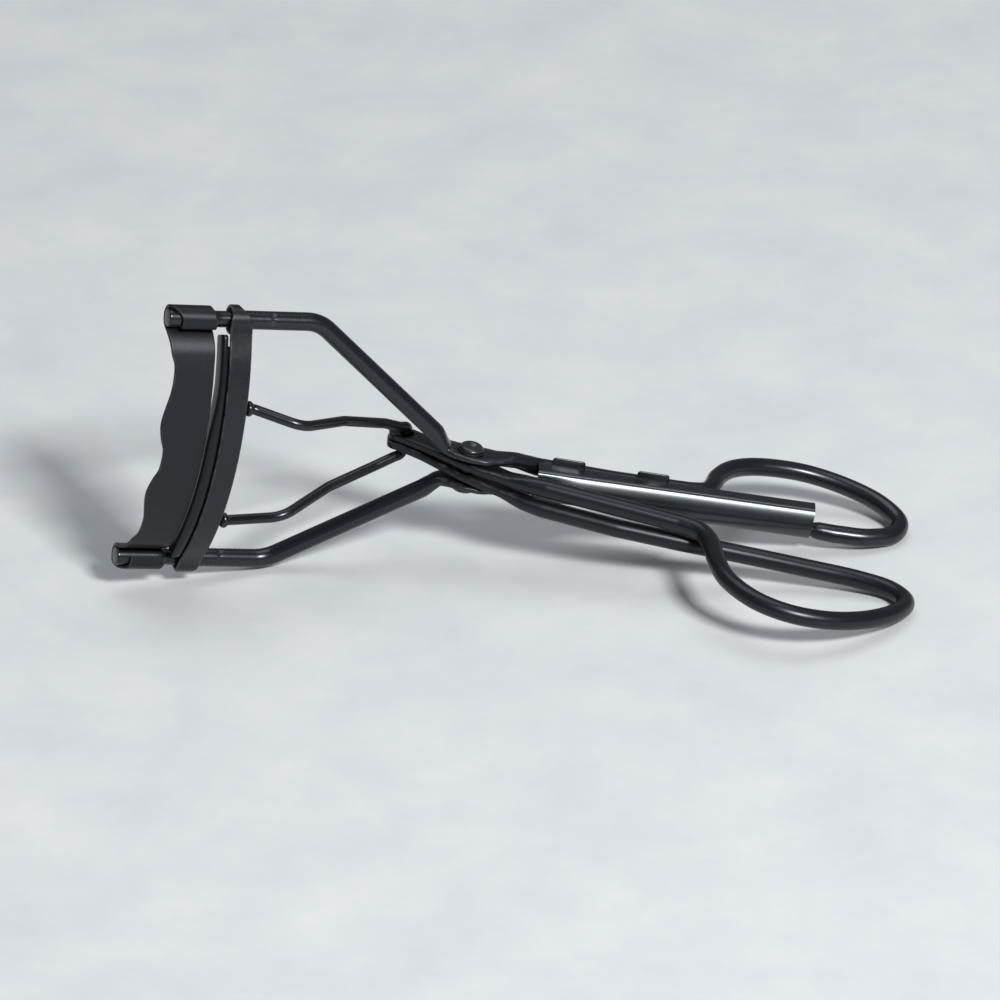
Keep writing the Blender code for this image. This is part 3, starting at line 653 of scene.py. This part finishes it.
def ring_path(fine):
    start_n = 14.2
    start = (arc_w(flange_r, start_n), start_n)
    slope = (start_n / flange_r, math.sqrt(1 - (start_n / flange_r) ** 2))
    first = math.radians(170)
    roll = []
    steps = int(fine * 1.2)
    for k in range(steps + 1):
        ang = first - (math.radians(170 + 118)) * k / steps
        roll.append((RING_R * math.cos(ang), ROD_N + RING_R * math.sin(ang)))
    join = bezier(start, slope, roll[0], (math.sin(first), -math.cos(first)), 1.2, 14)
    half = [(arc_w(flange_r, start_n * k / fine), start_n * k / fine) for k in range(1, fine + 1)]
    side = half + join + roll
    ends = [(CHANNEL_FRONT, CHANNEL_BACK)] * (len(half) + len(join))
    for k in range(steps + 1):                       # the rolled ends grow a little narrower
        f = k / steps
        t = smooth(min(1.0, f / 0.3))
        ends.append((CHANNEL_FRONT + 0.35 * t, CHANNEL_BACK - 1.3 * t - 0.5 * f))
    return ([(w, -n) for w, n in reversed(side)] + [(arc_w(flange_r, 0), 0.0)] + side,
            list(reversed(ends)) + [(CHANNEL_FRONT, CHANNEL_BACK)] + ends)


path, edges = ring_path(64)
moving_jaw = to_object("moving_jaw_band", sheet(path, edges, CHANNEL_T, 0.17), mat_channel)


def arc_sweep(section, end_n, steps):
    rings = []
    for k in range(steps + 1):
        ang = math.asin(end_n / 32.0) * (2 * k / steps - 1)
        rings.append([(jaw_point(u, JAW_CENTRE_W - r * math.cos(ang), r * math.sin(ang)), 0.0) for r, u in section])
    return sweep_rings(rings)


t = CHANNEL_T
outline = [(CHANNEL_OUT - 0.12, CHANNEL_BACK - 0.03)]
for k in range(7):                                    # rounded back corner of the inner flange
    a = math.radians(90 + 90 * k / 6)
    outline.append((CHANNEL_IN + 0.35 + 0.35 * math.cos(a), CHANNEL_BACK - 0.38 + 0.35 * math.sin(a)))
for k in range(7):                                    # rounded lip
    a = math.radians(180 + 180 * k / 6)
    outline.append((CHANNEL_IN + t / 2 + t / 2 * math.cos(a), CHANNEL_FRONT + t / 2 + t / 2 * math.sin(a)))
outline += [(CHANNEL_IN + t, CHANNEL_BACK - t - 0.1), (CHANNEL_IN + t + 0.1, CHANNEL_BACK - t),
            (CHANNEL_OUT - 0.12, CHANNEL_BACK - t)]
boolean(moving_jaw, to_object("join", arc_sweep(outline, CHANNEL_END_N, 72), None), 'UNION')
for sgn in (1, -1):
    boolean(moving_jaw, to_object("cut", revolve([(-1.2, 0.47), (1.2, 0.47)], jaw_point(CHANNEL_BACK - t / 2, BEAD_W, BEAD_N[sgn]),
                                                 U, W, 32), None), 'DIFFERENCE')
finish_piece(moving_jaw, mat_channel, "jaw", "moving_jaw", 50)

# ------------------------------------------------------------------ silicone pad
PAD_IN, PAD_OUT = CHANNEL_IN + t + 0.15, CHANNEL_OUT - t - 0.15
mid_r = (PAD_IN + PAD_OUT) / 2
half_r = (PAD_OUT - PAD_IN) / 2
outline = [(PAD_OUT, 9.8), (PAD_IN, 9.8), (PAD_IN, CHANNEL_FRONT - 0.12), (PAD_IN - 0.16, CHANNEL_FRONT - 0.14),
           (PAD_IN - 0.3, CHANNEL_FRONT - 0.22), (PAD_IN - 0.35, CHANNEL_FRONT - 0.4)]
for k in range(15):                                   # crowned front
    a = math.pi - math.pi * k / 14
    x = math.copysign(abs(math.cos(a)) ** 0.58, math.cos(a))
    outline.append((mid_r + (half_r + 0.35) * x, PAD_FRONT + 0.7 - 0.7 * math.sin(a) ** 0.7))
outline += [(PAD_OUT + 0.35, CHANNEL_FRONT - 0.4), (PAD_OUT + 0.3, CHANNEL_FRONT - 0.22),
            (PAD_OUT + 0.16, CHANNEL_FRONT - 0.14), (PAD_OUT, CHANNEL_FRONT - 0.12)]
rings = []
stops = [-14.55 + 29.1 * k / 60 for k in range(61)]
end = []
for k in range(1, 13):
    end.append(14.75 + 1.6 * math.sin(math.pi / 2 * k / 12))
stops = [-x for x in reversed([14.7] + end)] + stops + [14.7] + end
for n in stops:
    ang = math.asin(n / 32.0)
    over = max(0.0, (abs(n) - 15.95) / 0.4)
    shrink = 0.72 + 0.28 * math.sqrt(max(0.0, 1 - min(1.0, over) ** 2)) if over > 0 else 1.0
    mid_u = (PAD_FRONT + CHANNEL_FRONT) / 2
    ring = []
    back = PAD_SLOPE * smooth(max(0.0, min(1.0, (n - 2.0) / 9.0)))
    for r, u in outline:
        u += back * max(0.0, min(1.0, (CHANNEL_FRONT - 0.15 - u) / (CHANNEL_FRONT - 0.15 - PAD_FRONT)))
        if abs(n) > 14.6 and u > CHANNEL_FRONT - 0.12:
            u = CHANNEL_FRONT - 0.12 + (0.02 if u > 9 else 0)
        r2, u2 = mid_r + (r - mid_r) * shrink, mid_u + (u - mid_u) * shrink
        ring.append((jaw_point(u2, JAW_CENTRE_W - r2 * math.cos(ang), r2 * math.sin(ang)), 0.0))
    rings.append(ring)
pad = to_object("silicone_lash_pad", sweep_rings(rings), mat_pad)
finish_piece(pad, mat_pad, "jaw", "silicone_pad", 55)

# ------------------------------------------------------------------ moving handle
bar = 6.0


def bars(sgn):
    s = sgn
    tail_h = -7.0 if s > 0 else -6.3
    return [
        (V(-10.78, 4.9, s * 0.64), 0.0, 1.05, 0.40, 3.0), (V(-10.70, 4.9, s * 0.64), 0.0, 1.22, 0.48, 3.6),
        (V(-10.5, 4.9, s * 0.64), 0.0, 1.4, 0.52, 4.4), (V(-10.2, 4.88, s * 0.64), 0.0, 1.53, 0.52, 5.4),
        (V(-9.8, 4.82, s * 0.64), 0.0, 1.62, 0.52, bar), (V(-8.3, 4.5, s * 0.65), 0.0, 1.7, 0.52, bar),
        (V(-5.3, 3.05, s * 0.7), 3.0, 1.62, 0.52, bar), (V(-1.6, 0.95, s * 0.82), 0.0, 1.75, 0.52, bar),
        (V(0.0, 0.0, s * 0.86), 0.0, 1.8, 0.52, bar), (V(1.6, -0.8, s * 0.9), 0.0, 1.65, 0.52, bar),
        (V(5.3, -2.6, s * 1.05), 4.0, 1.25, 0.62, 4.0), (V(8.2, -3.85, s * 1.4), 2.0, WIRE_R, 1.1, 2.1),
        (V(10.5, -4.4, s * 1.52), 3.0, WIRE_R, WIRE_R, 2.0), (V(20.7, -5.85, s * 1.55), 8.0, WIRE_R, WIRE_R, 2.0),
        (V(28.8, tail_h, s * 1.55), 0.0, WIRE_R, WIRE_R, 2.0)]


loop_near = [V(28.8, -7.0, 1.55), V(31.35, -8.0, 1.55), V(32.75, -10.6, 1.5), V(33.35, -14.4, 1.45), V(34.75, -19.1, 1.35),
             V(38.35, -22.9, 1.15), V(43.0, -24.5, 0.95), V(48.7, -23.8, 0.65), V(54.3, -20.75, 0.25),
             V(58.55, -16.2, -0.2), V(59.6, -12.9, -0.45), V(57.8, -10.1, -0.7), V(53.7, -8.5, -0.95),
             V(45.9, -7.35, -1.3), V(36.9, -6.6, -1.5), V(28.8, -6.3, -1.55)]
stations = (rounded(bars(1))[:-1] + catmull([(q, WIRE_R, WIRE_R, 2.0) for q in loop_near], 9)
            + rounded(list(reversed(bars(-1))))[1:])
handle = to_object("moving_handle_bent", sweep(spread(stations), up=N), mat_handle)
boolean(handle, to_object("cut", revolve([(-3.0, PIVOT_HOLE_R), (3.0, PIVOT_HOLE_R)], V(0, 0, 0), N, V(1, 0, 0), 48), None), 'DIFFERENCE')
boolean(handle, to_object("cut", revolve([(-3.0, PIN_HOLE_R), (3.0, PIN_HOLE_R)], V(PIN[0], PIN[1], 0), N, V(1, 0, 0), 48), None), 'DIFFERENCE')
finish_piece(handle, mat_handle, "handle", "moving_handle")


# ------------------------------------------------------------------ push yoke
def yoke_half(sgn):
    s = sgn
    n0 = BEAD_N[s]
    r = YOKE_R
    nodes = [(9.98, 0.36), (10.02, 0.44), (10.1, 0.5), (10.36, 0.5), (10.46, 0.44), (10.52, 0.34), (11.28, 0.34)]
    for k in range(15):                               # round bead
        u = 11.32 + (12.48 - 11.32) * k / 14
        nodes.append((u, 1.04 * math.sqrt(max(0.06, 1 - ((u - 11.95) / 0.72) ** 2))))
    out = [(jaw_point(u, BEAD_W, n0), 0.0, rad, rad, 2.0) for u, rad in nodes]
    out += [(jaw_point(12.8, BEAD_W - 0.06, n0 - s * 0.07), 0.0, r, r, 2.0),
            (V(-23.4, -9.95, s * 6.85 if s > 0 else -7.0), 3.2, r, r, 2.0), (V(-17.75, -2.95, s * 5.1), 3.2, r, r, 2.0),
            (V(-11.9, 1.9, s * 3.3), 3.0, r, r, 2.0), (V(-9.6, 3.5, s * 2.35), 1.2, r, r, 2.0),
            (V(PIN[0], PIN[1], s * 2.15), 0.85, r, r, 2.0)]
    return out


yoke_nodes = yoke_half(1) + list(reversed(yoke_half(-1)))
yoke = to_object("push_yoke_bent", sweep(spread(rounded(yoke_nodes), 0.7), up=None, sides=28), mat_thin)
finish_piece(yoke, mat_thin, "yoke", "push_yoke")

# ------------------------------------------------------------------ pivot rivet and washer
profile = [(-3.25, 0.10), (-3.25, 1.15), (-3.05, 1.55), (-2.76, 1.6), (-2.76, RIVET_R), (3.06, RIVET_R), (3.06, 1.6),
           (3.28, 1.58), (3.47, 1.36), (3.5, 1.12), (3.46, 0.82), (3.24, 0.50), (3.14, 0.10)]
rivet = to_object("pivot_rivet_turned", revolve(soften(profile, 0.10), V(0, 0, 0), N, V(1, 0, 0), 64), mat_rivet)
finish_piece(rivet, mat_rivet, "frame", "pivot_rivet")
ring = soften([(2.85, 1.75), (2.75, 1.75), (2.74, 1.1), (2.96, 1.1), (2.96, 1.75), (2.85, 1.75)], 0.06)[:-1]
rings = []
for k in range(64):
    a = 2 * math.pi * k / 64
    rings.append([(V(r * math.cos(a), r * math.sin(a), d), 0.0) for d, r in ring])
washer = to_object("rivet_washer_ring", sweep_rings(rings, closed=True), mat_washer)
finish_piece(washer, mat_washer, "frame", "rivet_washer")


# ------------------------------------------------------------------ handle sleeve
def strip_section(line, half, seg=6):
    """Ring round an open 2-D line, offset by half to each side, with round ends."""
    pts = [Vector(q) for q in line]
    left, right = [], []
    for i, q in enumerate(pts):
        d = (pts[min(i + 1, len(pts) - 1)] - pts[max(i - 1, 0)]).normalized()
        nrm = Vector((-d.y, d.x))
        left.append(q + nrm * half)
        right.append(q - nrm * half)
    out = [(q, 0.0) for q in left]
    d = (pts[-1] - pts[-2]).normalized()
    nrm = Vector((-d.y, d.x))
    for k in range(1, seg):
        a = math.pi * k / seg
        out.append((pts[-1] + nrm * (half * math.cos(a)) + d * (half * math.sin(a)), 1.0))
    out += [(q, 0.0) for q in reversed(right)]
    d = (pts[0] - pts[1]).normalized()
    nrm = Vector((-d.y, d.x))
    for k in range(1, seg):
        a = math.pi * k / seg
        out.append((pts[0] + nrm * (half * math.cos(a)) + d * (half * math.sin(a)), 1.0))
    return out


def curve2(keys, per):
    out = catmull([(Vector((a, b, 0)), 0, 0, 0) for a, b in keys], per)
    return [(q[0].x, q[0].y) for q in out]


def sleeve_line(g):
    far = 2.4 - 0.6 * min(1.0, (g - SLEEVE_START) / 16.0) - 0.15
    b = smooth((g - SLEEVE_START) / 6.0)
    keys = [(far, 2.2), ((far + 0.35) / 2, 2.2), (0.35, 2.2), (0.12, 2.17), (-0.01, 2.06), (-0.10, 2.04), (-0.22, 2.06),
            (-0.36, 1.90 + 0.04 * b), (-0.50 - 0.2 * b, 1.45), (-0.62 - 0.42 * b, 0.7), (-0.67 - 0.5 * b, -0.1),
            (-0.62 - 0.44 * b, -0.8), (-0.47 - 0.27 * b, -1.4), (-0.22 - 0.12 * b, -1.85), (0.1, -2.08),
            (0.5, -2.18), (1.1, -2.2), (2.05, -2.2)]
    return curve2(keys, 4)


rings = []
marks = [SLEEVE_START + (SLEEVE_END - SLEEVE_START) * k / 46 for k in range(47)]
for g in marks:
    rings.append([(V(g, sleeve_h(g) + q.x, q.y), w) for q, w in strip_section(sleeve_line(g), 0.15)])
sleeve = to_object("handle_sleeve_folded", sweep_rings(rings), mat_sleeve)
for g0, g1 in ((11.0, 15.6), (22.6, 27.1)):
    def top_h(g):
        return sleeve_h(g) + 2.4 - 0.6 * min(1.0, (g - SLEEVE_START) / 16.0)
    rings = []
    c = 0.42
    outline = [(g0, 2.15), (g1, 2.15)]
    for k in range(6):
        a = math.radians(90 * k / 5)
        outline.append((g1 - c + c * math.cos(a) - 0.06, 3.45 - c + c * math.sin(a)))
    for k in range(6):
        a = math.radians(90 + 90 * k / 5)
        outline.append((g0 + c + c * math.cos(a) + 0.06, 3.45 - c + c * math.sin(a)))
    centre = Vector((sum(q[0] for q in outline) / len(outline), 2.8))
    layers = ((-0.135, 0.06), (-0.10, 0.02), (-0.05, 0.0), (0.05, 0.0), (0.10, 0.02), (0.135, 0.06))
    for off, ins in layers:
        ring = []
        for g, n in outline:
            dg = math.copysign(ins, centre.x - g)
            nn = n - (ins if n > 2.5 else 0.0)
            gg = g + (dg if n > 2.5 else 0.0)
            ring.append((V(gg, top_h(gg) - 0.15 + off, nn), 0.8 if n > 2.5 else 0.0))
        rings.append(ring)
    boolean(sleeve, to_object("join", sweep_rings(rings), None), 'UNION')
finish_piece(sleeve, mat_sleeve, "frame", "handle_sleeve", 50)

# ------------------------------------------------------------------ floor, camera, light
lo, hi = cad_box
bpy.ops.mesh.primitive_plane_add(size=6.0, location=((lo.x + hi.x) / 2, (lo.y + hi.y) / 2 + 0.4, lo.z - 0.00003))
floor = bpy.context.object
floor.name = "floor"
fmat = bpy.data.materials.new("pale_floor")
fmat.use_nodes = True
fn, fl = fmat.node_tree.nodes, fmat.node_tree.links
fb = fn["Principled BSDF"]
fb.inputs["Roughness"].default_value = 0.75
fb.inputs["Specular IOR Level"].default_value = 0.2
ft = fn.new("ShaderNodeTexCoord")
fz = fn.new("ShaderNodeTexNoise")
fz.inputs["Scale"].default_value = 55.0
fz.inputs["Detail"].default_value = 7.0
fz.inputs["Roughness"].default_value = 0.62
fr = fn.new("ShaderNodeValToRGB")
fr.color_ramp.elements[0].position = 0.3
fr.color_ramp.elements[0].color = (0.600, 0.628, 0.645, 1)
fr.color_ramp.elements[1].position = 0.7
fr.color_ramp.elements[1].color = (0.690, 0.712, 0.726, 1)
fl.new(ft.outputs["Object"], fz.inputs["Vector"])
fl.new(fz.outputs["Fac"], fr.inputs["Fac"])
fl.new(fr.outputs["Color"], fb.inputs["Base Color"])
floor.data.materials.append(fmat)

E = math.radians(28.7)
DIST, FOCAL = 0.990, 7425.0
fwd = Vector((0.0, math.cos(E), -math.sin(E)))
right = Vector((1.0, 0.0, 0.0))
upv = right.cross(fwd)
xc = (467.0 - 500.0) / FOCAL * DIST
yc = -(468.0 - 500.0) / FOCAL * DIST
cam_data = bpy.data.cameras.new("camera")
cam = bpy.data.objects.new("camera", cam_data)
bpy.context.scene.collection.objects.link(cam)
cam_data.sensor_width = 36.0
cam_data.lens = FOCAL * 36.0 / 1000.0
cam_data.clip_start = 0.01
cam_data.clip_end = 20.0
eye = PIVOT - (fwd * DIST + right * xc + upv * yc)
cam.matrix_world = Matrix(((right.x, upv.x, -fwd.x, eye.x), (right.y, upv.y, -fwd.y, eye.y),
                           (right.z, upv.z, -fwd.z, eye.z), (0, 0, 0, 1)))
bpy.context.scene.camera = cam
bpy.context.scene.view_settings.view_transform = "Standard"


def area(name, where, target, size, size_y, power, colour=(1, 1, 1)):
    data = bpy.data.lights.new(name, 'AREA')
    data.shape = 'RECTANGLE'
    data.size, data.size_y = size, size_y
    data.energy = power
    data.color = colour
    obj = bpy.data.objects.new(name, data)
    bpy.context.scene.collection.objects.link(obj)
    obj.location = where
    obj.rotation_mode = 'QUATERNION'
    obj.rotation_quaternion = (Vector(target) - Vector(where)).to_track_quat('-Z', 'Y')
    return obj


mid = (0.0, 0.0, 0.01)
area("key", (0.46, -0.76, 0.81), mid, 0.24, 0.19, 14.6)
area("overhead", (0.0, 0.25, 1.1), mid, 0.9, 0.7, 3.6, (0.96, 0.98, 1.0))
world = bpy.data.worlds.new("studio")
bpy.context.scene.world = world
world.use_nodes = True
world.node_tree.nodes["Background"].inputs["Color"].default_value = (0.88, 0.93, 1.0, 1)
world.node_tree.nodes["Background"].inputs["Strength"].default_value = 0.19
